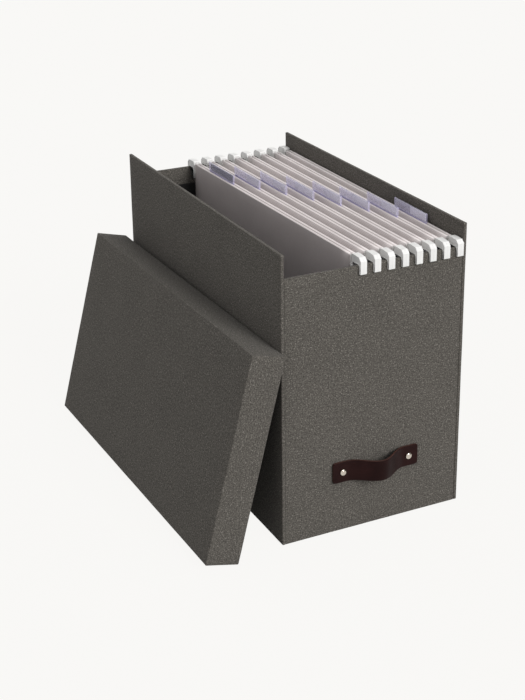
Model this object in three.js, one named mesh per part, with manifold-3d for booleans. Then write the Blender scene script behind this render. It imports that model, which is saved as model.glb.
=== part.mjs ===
// Hanging file box: cloth-covered boards, hanging folders on the two lower end walls, a riveted leather
// pull on the near end, and the lift-off lid leaning on the left wall.
// Millimetres. +Z is up, +Y runs along the long side away from the pull, and the origin lies on the
// ground under the middle of the box.
import * as THREE from 'three';
import { mergeVertices } from 'three/addons/utils/BufferGeometryUtils.js';
import Module from 'manifold-3d';

// Box
const BOX_WIDTH = 186;
const BOX_LENGTH = 352;
const SIDE_HEIGHT = 279;
const END_HEIGHT = 257;
const BOARD = 3.2;
const BOARD_EDGE_ROUND = 0.7;
const BOARD_CORNER = 1.2;
const END_INSET = 0.4;
const CLEARANCE = 0.3;

// Lining, which starts under the band of canvas that is turned in over the walls' tops
const LINING = 0.6;
const TURN_IN = 18;

// Leather pull and its rivets
const STRAP_LENGTH = 89;
const STRAP_WIDTH = 20.5;
const STRAP_THICKNESS = 2.2;
const STRAP_CORNER = 2.5;
const STRAP_BOW = 14.5;
const STRAP_BOW_LENGTH = 61;
const STRAP_BOW_STEPS = 28;
const PULL_X = 2;
const PULL_Z = 61;
const RIVET_INSET = 10;
const RIVET_HEAD_RADIUS = 3.2;
const RIVET_HEAD_HEIGHT = 1.9;
const RIVET_SHANK_RADIUS = 1.4;
const RIVET_TAIL_RADIUS = 2.1;
const RIVET_TAIL_HEIGHT = 0.9;
const WASHER_RADIUS = 4;
const WASHER_THICKNESS = 0.8;

// Lid and the way it leans
const LID_DEPTH = 33;
const LID_PLAY = 2;
const LID_LEAN = THREE.MathUtils.degToRad(14.4);
const LID_TURN = THREE.MathUtils.degToRad(1.15);
const LID_SHIFT = 5.1;

// Hanging folders
const FOLDER_COUNT = 8;
const FOLDER_PITCH = 14.2;
const FOLDER_FLOOR_GAP = 19.1;
const SHEET_END_GAP = 12.4;
const CARD = 0.45;
const HEM = 16;
const FOLD_RISE = 6.2;

// Rails with their hooks
const RAIL_WIDTH = 3.1;
const STRIP_HEIGHT = 11;
const HOOK_NECK = 1;
const PRONG_THICKNESS = 1.8;
const PRONG_REACH = 10.5;
const HOOK_LEG_THICKNESS = 2.9;
const HOOK_LEG_REACH = 8;
const HOOK_ARM_HEIGHT = 7;
const HOOK_CROWN = 0.9;
const HOOK_FILLET = 2;
const HOOK_CHAMFER = 3.2;
const HOOK_TIP_ROUND = 0.8;
const HOOK_RIM = 1.3;
const HOOK_RECESS = 0.5;

// Index tabs and the card labels in them
const TAB_LENGTH = 57;
const TAB_FAR_MARGIN = 21.5;
const TAB_NEAR_MARGIN = 32.9;
const TAB_RISE = 11.5;
const TAB_FLANGE = 3.2;
const TAB_WALL = 0.5;
const TAB_CORNER = 1.5;
const LABEL_THICKNESS = 0.4;
const LABEL_LENGTH = 54;

// Faces that several pieces share
const WALL_INNER_X = BOX_WIDTH / 2 - BOARD;
const END_OUTER_Y = BOX_LENGTH / 2 - END_INSET;
const END_INNER_Y = END_OUTER_Y - BOARD;
const LINING_TOP = END_HEIGHT - TURN_IN;
const LINED_X = WALL_INNER_X - CLEARANCE - LINING;
const LINED_Y = END_INNER_Y - CLEARANCE - LINING;
const LINING_BASE_TOP = BOARD + CLEARANCE + LINING;
const STRIP_THICKNESS = RAIL_WIDTH - 2 * (CARD + CLEARANCE);
const RAIL_OFFSET = (RAIL_WIDTH + CLEARANCE) / 2;
const FOLDER_HALF_WIDTH = RAIL_OFFSET + RAIL_WIDTH / 2;
const LAST_FOLDER_X = LINED_X - CLEARANCE - FOLDER_HALF_WIDTH;
const FOLD_TOP = END_HEIGHT + FOLD_RISE;
const FOLD_CENTRE = FOLD_TOP - RAIL_WIDTH / 2;
const FOLDER_LOW = LINING_BASE_TOP + FOLDER_FLOOR_GAP;
const SHEET_LENGTH = 2 * (END_INNER_Y - SHEET_END_GAP);
const FIRST_TAB_Y = SHEET_LENGTH / 2 - TAB_FAR_MARGIN - TAB_LENGTH / 2;
const LAST_TAB_Y = -SHEET_LENGTH / 2 + TAB_NEAR_MARGIN + TAB_LENGTH / 2;
const TAB_STEP = (FIRST_TAB_Y - LAST_TAB_Y) / (FOLDER_COUNT - 1);
const RIVET_HOLE_RADIUS = RIVET_SHANK_RADIUS + CLEARANCE;
const RIVET_XS = [-1, 1].map((side) => PULL_X + side * (STRAP_LENGTH / 2 - RIVET_INSET));
const ROUND_STEPS = 20;

// Materials
const canvas = new THREE.MeshStandardMaterial({ color: 0x4a4642, roughness: 0.9, metalness: 0 });
const blackLining = new THREE.MeshStandardMaterial({ color: 0x141314, roughness: 0.85, metalness: 0 });
const leather = new THREE.MeshStandardMaterial({ color: 0x2c1a19, roughness: 0.45, metalness: 0 });
const nickel = new THREE.MeshStandardMaterial({ color: 0xc9c4ba, roughness: 0.22, metalness: 1 });
const greyCard = new THREE.MeshStandardMaterial({ color: 0xc4bcbd, roughness: 0.8, metalness: 0 });
const whitePlastic = new THREE.MeshStandardMaterial({ color: 0xe9eae8, roughness: 0.4, metalness: 0 });
const lilacPlastic = new THREE.MeshStandardMaterial({
  color: 0xb2afcb,
  roughness: 0.2,
  metalness: 0,
  transparent: true,
  opacity: 0.5,
});
const labelCard = new THREE.MeshStandardMaterial({ color: 0xc9c9d6, roughness: 0.8, metalness: 0 });

// Solids
const wasm = await Module();
wasm.setup();

function solidOf(geometry) {
  const bare = geometry.clone();
  bare.deleteAttribute('normal');
  bare.deleteAttribute('uv');
  const merged = mergeVertices(bare);
  return new wasm.Manifold(new wasm.Mesh({
    numProp: 3,
    vertProperties: Float32Array.from(merged.attributes.position.array),
    triVerts: Uint32Array.from(merged.index.array),
  }));
}

function geometryOf(solid) {
  const mesh = solid.getMesh();
  const geometry = new THREE.BufferGeometry();
  geometry.setAttribute('position', new THREE.BufferAttribute(mesh.vertProperties, 3));
  geometry.setIndex(new THREE.BufferAttribute(mesh.triVerts, 1));
  geometry.computeVertexNormals();
  return geometry;
}

function cut(geometry, ...tools) {
  let solid = solidOf(geometry);
  for (const tool of tools) {
    solid = solid.subtract(solidOf(tool));
  }
  return geometryOf(solid);
}

function join(geometry, ...others) {
  let solid = solidOf(geometry);
  for (const other of others) {
    solid = solid.add(solidOf(other));
  }
  return geometryOf(solid);
}

function common(geometry, other) {
  return geometryOf(solidOf(geometry).intersect(solidOf(other)));
}

// Outlines and the directions in which they are extruded
function roundedRectangle(width, height, radius) {
  const x = width / 2;
  const y = height / 2;
  const shape = new THREE.Shape();
  shape.moveTo(-x + radius, -y);
  shape.lineTo(x - radius, -y);
  shape.absarc(x - radius, -y + radius, radius, -Math.PI / 2, 0);
  shape.lineTo(x, y - radius);
  shape.absarc(x - radius, y - radius, radius, 0, Math.PI / 2);
  shape.lineTo(-x + radius, y);
  shape.absarc(-x + radius, y - radius, radius, Math.PI / 2, Math.PI);
  shape.lineTo(-x, -y + radius);
  shape.absarc(-x + radius, -y + radius, radius, Math.PI, 1.5 * Math.PI);
  return shape;
}

function prism(shape, depth, curveSegments = 6) {
  return new THREE.ExtrudeGeometry(shape, { depth, curveSegments, bevelEnabled: false });
}

// A board whose edges are rounded by the cloth that wraps them
function wrappedBoard(width, height, thickness) {
  const geometry = new THREE.ExtrudeGeometry(roundedRectangle(width, height, BOARD_CORNER), {
    depth: thickness - 2 * BOARD_EDGE_ROUND,
    curveSegments: 3,
    bevelThickness: BOARD_EDGE_ROUND,
    bevelSize: BOARD_EDGE_ROUND,
    bevelOffset: -BOARD_EDGE_ROUND,
    bevelSegments: 2,
  });
  return geometry.translate(0, 0, BOARD_EDGE_ROUND - thickness / 2);
}

// Turns an outline drawn in Y and Z, extruded along X
function alongX(geometry) {
  const turn = new THREE.Matrix4().makeBasis(
    new THREE.Vector3(0, 1, 0),
    new THREE.Vector3(0, 0, 1),
    new THREE.Vector3(1, 0, 0),
  );
  return geometry.applyMatrix4(turn);
}

// Turns an outline drawn in X and Z, extruded along -Y
function alongY(geometry) {
  const turn = new THREE.Matrix4().makeBasis(
    new THREE.Vector3(1, 0, 0),
    new THREE.Vector3(0, 0, 1),
    new THREE.Vector3(0, -1, 0),
  );
  return geometry.applyMatrix4(turn);
}

const box = new THREE.Group();

function place(parent, name, geometry, material, position = [0, 0, 0]) {
  const mesh = new THREE.Mesh(geometry, material.clone());
  mesh.name = name;
  mesh.position.set(...position);
  parent.add(mesh);
  return mesh;
}

function rivetBore(x) {
  const length = 40;
  return new THREE.CylinderGeometry(RIVET_HOLE_RADIUS, RIVET_HOLE_RADIUS, length, ROUND_STEPS)
    .translate(x, -END_OUTER_Y, PULL_Z);
}

// Box shell
function buildSideWalls() {
  for (const [name, side] of [['side_wall_left', -1], ['side_wall_right', 1]]) {
    const wall = alongX(wrappedBoard(BOX_LENGTH, SIDE_HEIGHT, BOARD));
    place(box, name, wall, canvas, [side * (BOX_WIDTH - BOARD) / 2, 0, SIDE_HEIGHT / 2]);
  }
}

function buildEndWalls() {
  const width = 2 * (WALL_INNER_X - CLEARANCE);
  for (const [name, side] of [['end_wall_front', -1], ['end_wall_back', 1]]) {
    const wall = alongY(wrappedBoard(width, END_HEIGHT, BOARD))
      .translate(0, side * (END_OUTER_Y - BOARD / 2), END_HEIGHT / 2);
    const bored = side < 0 ? cut(wall, ...RIVET_XS.map(rivetBore)) : wall;
    place(box, name, bored, canvas);
  }
}

function buildBase() {
  const width = 2 * (WALL_INNER_X - CLEARANCE);
  const length = 2 * (END_INNER_Y - CLEARANCE);
  place(box, 'base_board', wrappedBoard(width, length, BOARD), canvas, [0, 0, BOARD / 2]);
}

function buildLinings() {
  const low = BOARD + CLEARANCE;
  const height = LINING_TOP - low;
  const middle = (LINING_TOP + low) / 2;
  for (const [name, side] of [['lining_left', -1], ['lining_right', 1]]) {
    const sheet = new THREE.BoxGeometry(LINING, 2 * (END_INNER_Y - CLEARANCE), height);
    place(box, name, sheet, blackLining, [side * (LINED_X + LINING / 2), 0, middle]);
  }
  for (const [name, side] of [['lining_front', -1], ['lining_back', 1]]) {
    const sheet = new THREE.BoxGeometry(2 * (LINED_X - CLEARANCE), LINING, height)
      .translate(0, side * (LINED_Y + LINING / 2), middle);
    const bored = side < 0 ? cut(sheet, ...RIVET_XS.map(rivetBore)) : sheet;
    place(box, name, bored, blackLining);
  }
  const base = new THREE.BoxGeometry(2 * (LINED_X - CLEARANCE), 2 * (LINED_Y - CLEARANCE), LINING);
  place(box, 'lining_base', base, blackLining, [0, 0, low + LINING / 2]);
}

// Leather pull: flat at its riveted ends, with a smooth bow between them for the fingers
function bowAt(x) {
  const phase = THREE.MathUtils.clamp(2 * x / STRAP_BOW_LENGTH, -1, 1) * Math.PI;
  return STRAP_BOW * (1 + Math.cos(phase)) / 2;
}

function bowSlopeAt(x) {
  const phase = THREE.MathUtils.clamp(2 * x / STRAP_BOW_LENGTH, -1, 1) * Math.PI;
  return -STRAP_BOW * Math.PI / STRAP_BOW_LENGTH * Math.sin(phase);
}

function buildPull() {
  const inner = [new THREE.Vector2(-STRAP_LENGTH / 2, 0)];
  const outer = [new THREE.Vector2(-STRAP_LENGTH / 2, STRAP_THICKNESS)];
  for (let step = 0; step <= STRAP_BOW_STEPS; step += 1) {
    const x = STRAP_BOW_LENGTH * (step / STRAP_BOW_STEPS - 0.5);
    const slope = bowSlopeAt(x);
    const normal = new THREE.Vector2(-slope, 1).normalize();
    inner.push(new THREE.Vector2(x, bowAt(x)));
    outer.push(new THREE.Vector2(x, bowAt(x)).addScaledVector(normal, STRAP_THICKNESS));
  }
  inner.push(new THREE.Vector2(STRAP_LENGTH / 2, 0));
  outer.push(new THREE.Vector2(STRAP_LENGTH / 2, STRAP_THICKNESS));

  const strapFace = -(END_OUTER_Y + CLEARANCE);
  const outline = [...inner, ...outer.reverse()].map((p) => new THREE.Vector2(PULL_X + p.x, strapFace - p.y));
  const band = prism(new THREE.Shape(outline), STRAP_WIDTH).translate(0, 0, PULL_Z - STRAP_WIDTH / 2);
  const reach = STRAP_BOW + 2 * STRAP_THICKNESS;
  const endRounding = alongY(prism(roundedRectangle(STRAP_LENGTH, STRAP_WIDTH, STRAP_CORNER), reach, 5))
    .translate(PULL_X, -END_OUTER_Y, PULL_Z);
  const strap = cut(common(band, endRounding), ...RIVET_XS.map(rivetBore));
  place(box, 'pull_strap', strap, leather);
}

// A rivet: domed head on the leather, shank through strap, board and lining, peened tail on its washer
function buildRivets() {
  const headSeat = -(END_OUTER_Y + CLEARANCE + STRAP_THICKNESS + CLEARANCE);
  const washerSeat = -(LINED_Y - CLEARANCE);
  const tailSeat = washerSeat + WASHER_THICKNESS + CLEARANCE;
  const profile = new THREE.Path();
  profile.moveTo(0, tailSeat + RIVET_TAIL_HEIGHT);
  profile.lineTo(RIVET_SHANK_RADIUS, tailSeat + RIVET_TAIL_HEIGHT);
  profile.lineTo(RIVET_TAIL_RADIUS, tailSeat + RIVET_TAIL_HEIGHT / 2);
  profile.lineTo(RIVET_TAIL_RADIUS, tailSeat);
  profile.lineTo(RIVET_SHANK_RADIUS, tailSeat);
  profile.lineTo(RIVET_SHANK_RADIUS, headSeat);
  profile.lineTo(RIVET_HEAD_RADIUS, headSeat);
  profile.absellipse(0, headSeat, RIVET_HEAD_RADIUS, RIVET_HEAD_HEIGHT, 0, -Math.PI / 2, true);
  const points = profile.getPoints(5).reverse();
  const washerInner = RIVET_HOLE_RADIUS;
  const washer = [
    new THREE.Vector2(washerInner, washerSeat),
    new THREE.Vector2(WASHER_RADIUS, washerSeat),
    new THREE.Vector2(WASHER_RADIUS, washerSeat + WASHER_THICKNESS),
    new THREE.Vector2(washerInner, washerSeat + WASHER_THICKNESS),
    new THREE.Vector2(washerInner, washerSeat),
  ];
  ['left', 'right'].forEach((side, index) => {
    const position = [RIVET_XS[index], 0, PULL_Z];
    place(box, `rivet_${side}`, new THREE.LatheGeometry(points, ROUND_STEPS), nickel, position);
    place(box, `rivet_washer_${side}`, new THREE.LatheGeometry(washer, ROUND_STEPS), nickel, position);
  });
}

// Lid: an open tray, modelled rim down and then leaned on the wall with its rim towards the box
function buildLid() {
  const width = BOX_WIDTH + 2 * (LID_PLAY + BOARD);
  const length = BOX_LENGTH + 2 * (LID_PLAY + BOARD);
  const shell = wrappedBoard(width, length, LID_DEPTH).translate(width / 2, length / 2, LID_DEPTH / 2);
  const hollow = new THREE.BoxGeometry(width - 2 * BOARD, length - 2 * BOARD, LID_DEPTH)
    .translate(width / 2, length / 2, LID_DEPTH / 2 - BOARD);
  const round = BOARD_EDGE_ROUND;
  const wallFace = -BOX_WIDTH / 2 - CLEARANCE;
  const reach = (width - round) * Math.sin(LID_LEAN) - round * Math.cos(LID_LEAN) + round;
  const foot = round * (1 - Math.cos(LID_LEAN) - Math.sin(LID_LEAN));

  const turned = new THREE.Group();
  turned.position.set(wallFace - reach, -length / 2 - LID_SHIFT, foot);
  turned.rotation.z = LID_TURN;
  const leaned = new THREE.Group();
  leaned.rotation.y = LID_LEAN - Math.PI / 2;
  turned.add(leaned);
  box.add(turned);
  place(leaned, 'lid', cut(shell, hollow), canvas);
}

// One folded sheet of card: a hem round each rail and a round fold at the bottom
function sleeveShape() {
  const railX = RAIL_OFFSET;
  const outerFold = RAIL_WIDTH / 2;
  const innerFold = outerFold - CARD;
  const hemEnd = FOLD_TOP - HEM;
  const outerBase = FOLDER_HALF_WIDTH;
  const innerBase = outerBase - CARD;
  const baseCentre = FOLDER_LOW + outerBase;
  const shape = new THREE.Shape();
  shape.moveTo(-railX + outerFold, hemEnd);
  shape.lineTo(-railX + outerFold, FOLD_CENTRE);
  shape.absarc(-railX, FOLD_CENTRE, outerFold, 0, Math.PI);
  shape.lineTo(-outerBase, baseCentre);
  shape.absarc(0, baseCentre, outerBase, Math.PI, 2 * Math.PI);
  shape.lineTo(outerBase, FOLD_CENTRE);
  shape.absarc(railX, FOLD_CENTRE, outerFold, 0, Math.PI);
  shape.lineTo(railX - outerFold, hemEnd);
  shape.lineTo(railX - innerFold, hemEnd);
  shape.lineTo(railX - innerFold, FOLD_CENTRE);
  shape.absarc(railX, FOLD_CENTRE, innerFold, Math.PI, 0, true);
  shape.lineTo(innerBase, baseCentre);
  shape.absarc(0, baseCentre, innerBase, 2 * Math.PI, Math.PI, true);
  shape.lineTo(-innerBase, FOLD_CENTRE);
  shape.absarc(-railX, FOLD_CENTRE, innerFold, Math.PI, 0, true);
  shape.lineTo(-railX + innerFold, hemEnd);
  return shape;
}

// The hook at a rail's end, drawn in Y and Z: a prong inside the wall, an arm over it, a leg outside it
function hookShape() {
  const root = SHEET_LENGTH / 2 + HOOK_NECK;
  const prongOuter = root + PRONG_THICKNESS;
  const legInner = END_OUTER_Y + CLEARANCE;
  const legOuter = legInner + HOOK_LEG_THICKNESS;
  const armLow = END_HEIGHT + CLEARANCE;
  const armTop = armLow + HOOK_ARM_HEIGHT;
  const rootTop = FOLD_TOP - CARD - CLEARANCE;
  const legTip = END_HEIGHT - HOOK_LEG_REACH;
  const prongTip = END_HEIGHT - PRONG_REACH;
  const shape = new THREE.Shape();
  shape.moveTo(root, rootTop);
  shape.lineTo(root, prongTip + HOOK_TIP_ROUND);
  shape.quadraticCurveTo(root, prongTip, root + HOOK_TIP_ROUND, prongTip);
  shape.quadraticCurveTo(prongOuter, prongTip, prongOuter, prongTip + HOOK_TIP_ROUND);
  shape.lineTo(prongOuter, armLow - HOOK_FILLET);
  shape.quadraticCurveTo(prongOuter, armLow, prongOuter + HOOK_FILLET, armLow);
  shape.lineTo(legInner - HOOK_TIP_ROUND, armLow);
  shape.quadraticCurveTo(legInner, armLow, legInner, armLow - HOOK_TIP_ROUND);
  shape.lineTo(legInner, legTip);
  shape.lineTo(legOuter - HOOK_TIP_ROUND, legTip);
  shape.quadraticCurveTo(legOuter, legTip, legOuter, legTip + HOOK_TIP_ROUND);
  shape.lineTo(legOuter, armTop - HOOK_CHAMFER);
  shape.lineTo(legOuter - HOOK_CHAMFER, armTop);
  shape.quadraticCurveTo((root + legOuter) / 2, armTop + HOOK_CROWN, root, rootTop);
  return shape;
}

// The sunk panel in each side of the hook's arm, which leaves a raised rim round it
function hookRecess(side) {
  const low = END_HEIGHT + CLEARANCE + HOOK_RIM;
  const high = END_HEIGHT + CLEARANCE + HOOK_ARM_HEIGHT - HOOK_RIM;
  const near = SHEET_LENGTH / 2 + HOOK_NECK + HOOK_RIM;
  const far = END_OUTER_Y + CLEARANCE + HOOK_LEG_THICKNESS - HOOK_CHAMFER;
  return new THREE.BoxGeometry(2 * HOOK_RECESS, far - near, high - low)
    .translate(side * RAIL_WIDTH / 2, (near + far) / 2, (low + high) / 2);
}

function railGeometry() {
  const blank = alongX(prism(hookShape(), RAIL_WIDTH, 3)).translate(-RAIL_WIDTH / 2, 0, 0);
  const hook = cut(blank, hookRecess(-1), hookRecess(1));
  const nearHook = hook.clone().rotateZ(Math.PI);
  const stripTop = FOLD_CENTRE + CARD;
  const stripLength = SHEET_LENGTH + 2 * (HOOK_NECK + PRONG_THICKNESS / 2);
  const strip = new THREE.BoxGeometry(STRIP_THICKNESS, stripLength, STRIP_HEIGHT)
    .translate(0, 0, stripTop - STRIP_HEIGHT / 2);
  return join(strip, hook, nearHook);
}

// Index tab, drawn in X and Z: a flat sleeve for the label, with a flange down the outside of the card
function tabShape() {
  const flangeInner = -FOLDER_HALF_WIDTH - CLEARANCE;
  const outer = flangeInner - TAB_WALL;
  const slot = LABEL_THICKNESS + 2 * CLEARANCE;
  const slotLeft = flangeInner;
  const slotRight = flangeInner + slot;
  const back = slotRight + TAB_WALL;
  const floor = FOLD_TOP + CLEARANCE;
  const top = FOLD_TOP + TAB_RISE;
  const round = (back - outer) / 2;
  const shape = new THREE.Shape();
  shape.moveTo(outer, FOLD_TOP - TAB_FLANGE);
  shape.lineTo(flangeInner, FOLD_TOP - TAB_FLANGE);
  shape.lineTo(flangeInner, floor);
  shape.lineTo(back, floor);
  shape.lineTo(back, top - round);
  shape.absarc(back - round, top - round, round, 0, Math.PI);
  shape.lineTo(outer, FOLD_TOP - TAB_FLANGE);
  const hollow = new THREE.Path();
  hollow.moveTo(slotLeft, floor + TAB_WALL);
  hollow.lineTo(slotLeft, top - round);
  hollow.lineTo(slotRight, top - round);
  hollow.lineTo(slotRight, floor + TAB_WALL);
  hollow.lineTo(slotLeft, floor + TAB_WALL);
  shape.holes.push(hollow);
  return shape;
}

function tabGeometry() {
  const height = TAB_RISE + TAB_FLANGE;
  const middle = FOLD_TOP + (TAB_RISE - TAB_FLANGE) / 2;
  const section = alongY(prism(tabShape(), TAB_LENGTH, 5)).translate(0, TAB_LENGTH / 2, 0);
  const reach = 4 * FOLDER_HALF_WIDTH;
  const outline = alongX(prism(roundedRectangle(TAB_LENGTH, height, TAB_CORNER), reach, 4))
    .translate(-reach / 2, 0, middle);
  return common(section, outline);
}

function labelGeometry() {
  const floor = FOLD_TOP + CLEARANCE + TAB_WALL + CLEARANCE;
  const slotTop = FOLD_TOP + TAB_RISE - (LABEL_THICKNESS + 2 * (CLEARANCE + TAB_WALL)) / 2;
  const height = slotTop - CLEARANCE - floor;
  const x = -FOLDER_HALF_WIDTH + LABEL_THICKNESS / 2;
  return new THREE.BoxGeometry(LABEL_THICKNESS, LABEL_LENGTH, height).translate(x, 0, floor + height / 2);
}

// Hanging folders, numbered from the left, each with its tab one step nearer the pull
function buildFolders() {
  const sleeve = alongY(prism(sleeveShape(), SHEET_LENGTH, 8)).translate(0, SHEET_LENGTH / 2, 0);
  const rail = railGeometry();
  const tab = tabGeometry();
  const label = labelGeometry();
  for (let index = 0; index < FOLDER_COUNT; index += 1) {
    const folder = new THREE.Group();
    const name = `folder_${index + 1}`;
    const tabY = FIRST_TAB_Y - index * TAB_STEP;
    folder.position.x = LAST_FOLDER_X - (FOLDER_COUNT - 1 - index) * FOLDER_PITCH;
    box.add(folder);
    place(folder, `${name}_sleeve`, sleeve.clone(), greyCard);
    place(folder, `${name}_rail_left`, rail.clone(), whitePlastic, [-RAIL_OFFSET, 0, 0]);
    place(folder, `${name}_rail_right`, rail.clone(), whitePlastic, [RAIL_OFFSET, 0, 0]);
    place(folder, `${name}_tab`, tab.clone(), lilacPlastic, [0, tabY, 0]);
    place(folder, `${name}_label`, label.clone(), labelCard, [0, tabY, 0]);
  }
}

buildSideWalls();
buildEndWalls();
buildBase();
buildLinings();
buildPull();
buildRivets();
buildLid();
buildFolders();

export default box;
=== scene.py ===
import functools
import math
import random

import bmesh
import bpy
from bpy.props import FloatProperty, FloatVectorProperty, IntProperty, PointerProperty
from mathutils import Matrix, Vector, noise


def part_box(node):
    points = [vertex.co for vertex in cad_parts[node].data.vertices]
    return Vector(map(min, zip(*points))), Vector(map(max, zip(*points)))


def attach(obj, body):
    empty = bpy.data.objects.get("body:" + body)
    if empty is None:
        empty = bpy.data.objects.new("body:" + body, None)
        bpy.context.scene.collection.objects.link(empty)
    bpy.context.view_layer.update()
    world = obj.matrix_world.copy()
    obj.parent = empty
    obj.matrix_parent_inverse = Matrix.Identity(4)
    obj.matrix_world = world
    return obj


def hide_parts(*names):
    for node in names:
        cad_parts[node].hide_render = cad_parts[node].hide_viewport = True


bl_info = {
    "name": "Hanging File Box",
    "version": (1, 0, 0),
    "blender": (4, 5, 0),
    "location": "View3D > Sidebar > File Box",
    "description": "Models a canvas file box with hanging folders, a leather pull and a leaning lid",
    "category": "Object",
}

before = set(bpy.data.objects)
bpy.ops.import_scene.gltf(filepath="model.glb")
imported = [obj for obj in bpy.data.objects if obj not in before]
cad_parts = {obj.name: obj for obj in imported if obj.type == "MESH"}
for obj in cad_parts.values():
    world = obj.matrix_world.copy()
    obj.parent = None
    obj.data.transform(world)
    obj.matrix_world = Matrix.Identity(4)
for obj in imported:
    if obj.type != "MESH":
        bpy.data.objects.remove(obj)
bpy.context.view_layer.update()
MM = 0.001
FOLDERS = 8
BOARD_NODES = ("side_wall_left", "side_wall_right", "end_wall_front", "end_wall_back", "base_board")
LINING_NODES = ("lining_left", "lining_right", "lining_front", "lining_back", "lining_base")
X_AXIS = Vector((1, 0, 0))
Y_AXIS = Vector((0, 1, 0))
Z_AXIS = Vector((0, 0, 1))

# Cloth: size of one swell of its unevenness
GRAIN = 30 * MM
# Pull, rivets and washers: heights along the rivet, radii across it, and DOME a share of the crown
RIVET_CROWN = 1.9 * MM
CURL = 0.5 * MM
DIMPLE_REACH = 4.2 * MM
DOME = 0.86
SHANK = 1.4 * MM
TAIL = 2.1 * MM
TAIL_HEIGHT = 0.9 * MM
TAIL_SLOPE = 0.4 * MM
WASHER_HOLE = 1.7 * MM
WASHER_EASE = 0.2 * MM
# Card sleeves: how far each end is cut back, and the spacing of the cuts that let the card swell
CARD_TRIM = 0.4 * MM
ROW_STEP = 9 * MM
COLUMN_STEP = 16 * MM
# Rails and hooks: the strips inside the hems, the prong and leg, the arm's ends and the raised rim
CROWN_RISE = 0.5 * MM
RAIL_PARTING = 0.04 * MM
STRIP_PLAY = 0.15 * MM
STRIP_HEIGHT = 11 * MM
STRIP_SHORT = 0.6 * MM
STRIP_REACH = 3.9 * MM
STRIP_STEP = 0.05 * MM
STRIP_ROUND = 0.3 * MM
PRONG_REACH = 4.8 * MM
HOOK_GAP = 0.3 * MM
HOOK_LEG_REACH = 8 * MM
HOOK_FILLET = 1.8 * MM
HOOK_ROUND = 0.6 * MM
CROWN_REACH = 5 * MM
ROOT_REACH = 0.9 * MM
ROOT_RISE = 0.3 * MM
RIM_HEIGHT = 0.35 * MM
RIM_SLOPE = 0.12 * MM
RIM_ROUND = 0.28 * MM
# Tabs and inserts
TAB_CORNER = 1.5 * MM
TAB_ROUND = 0.12 * MM
INSERT_PLAY = 0.1 * MM
INSERT_MARGIN = 0.8 * MM
INSERT_ROUND = 0.06 * MM
# Floor: half its side, and its depth under the box
FLOOR_SIZE = 6000 * MM
FLOOR_DROP = 0.2 * MM


def in_mm(name, description, millimetres):
    return FloatProperty(name=name, description=description, default=millimetres * MM, min=0.0,
                         precision=5, unit="LENGTH")


def in_degrees(name, description, degrees):
    return FloatProperty(name=name, description=description, default=math.radians(degrees),
                         subtype="ANGLE", unit="ROTATION")


def as_share(name, description, default):
    return FloatProperty(name=name, description=description, default=default, min=0.0, max=1.0)


def as_number(name, description, default):
    return FloatProperty(name=name, description=description, default=default)


def as_colour(name, description, default):
    return FloatVectorProperty(name=name, description=description, default=default, subtype="COLOR",
                               size=3, min=0.0, max=1.0)


def as_place(name, description, default):
    return FloatVectorProperty(name=name, description=description, default=default,
                               subtype="TRANSLATION", size=3)


class BoardSettings(bpy.types.PropertyGroup):
    """Boards, lid and their canvas"""
    edge_radius: in_mm("Edge radius", "Rounding of the wrapped boards' edges", 0.8)
    end_radius: in_mm("End radius", "Rounding of the end walls, tight in their seams", 0.45)
    seam: in_mm("Seam", "How far the cloth fills the seam beside an end wall", 0.2)
    panel_step: in_mm("Panel step", "Spacing of the cuts that carry the unevenness", 14)
    unevenness: in_mm("Unevenness", "How far the cloth strays from a true plane", 0.12)
    turn_in: in_mm("Turn in", "Width of the canvas turned in over an edge", 18)
    thread_pitch: in_mm("Thread pitch", "Distance from thread to thread", 0.62)
    canvas: as_colour("Canvas", "Mean colour of the cloth", (0.110, 0.101, 0.089))
    canvas_fleck: as_colour("Canvas fleck", "Colour of the pale slubs", (0.32, 0.30, 0.27))
    lining: as_colour("Lining", "Colour of the black lining paper", (0.012, 0.0115, 0.012))
    lid_depth: in_mm("Lid depth", "Depth of the lid's tray", 33)
    lid_play: in_mm("Lid play", "Room between the box and the lid's rim", 2)
    lid_lean: in_degrees("Lid lean", "Angle between the lid's panel and upright", 14.4)
    lid_turn: in_degrees("Lid turn", "Turn of the lid about the upright axis", 1.15)


class PullSettings(bpy.types.PropertyGroup):
    """Leather pull and its rivets"""
    thickness: in_mm("Thickness", "Thickness of the leather", 2.2)
    bow: in_mm("Bow", "How far the middle of the pull stands off the wall", 14.5)
    bow_length: in_mm("Bow length", "Length of the bowed stretch", 61)
    corner: in_mm("Corner", "Rounding of the pull's corners", 2.5)
    edge_radius: in_mm("Edge radius", "Rounding of the burnished edges", 0.6)
    dimple: in_mm("Dimple", "How deep a rivet presses the leather in", 0.35)
    leather: as_colour("Leather", "Colour of the leather's face", (0.0155, 0.0056, 0.0052))
    leather_edge: as_colour("Leather edge", "Colour of the cut edge", (0.060, 0.026, 0.020))
    nickel: as_colour("Nickel", "Colour of the rivets", (0.60, 0.54, 0.47))


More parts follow.
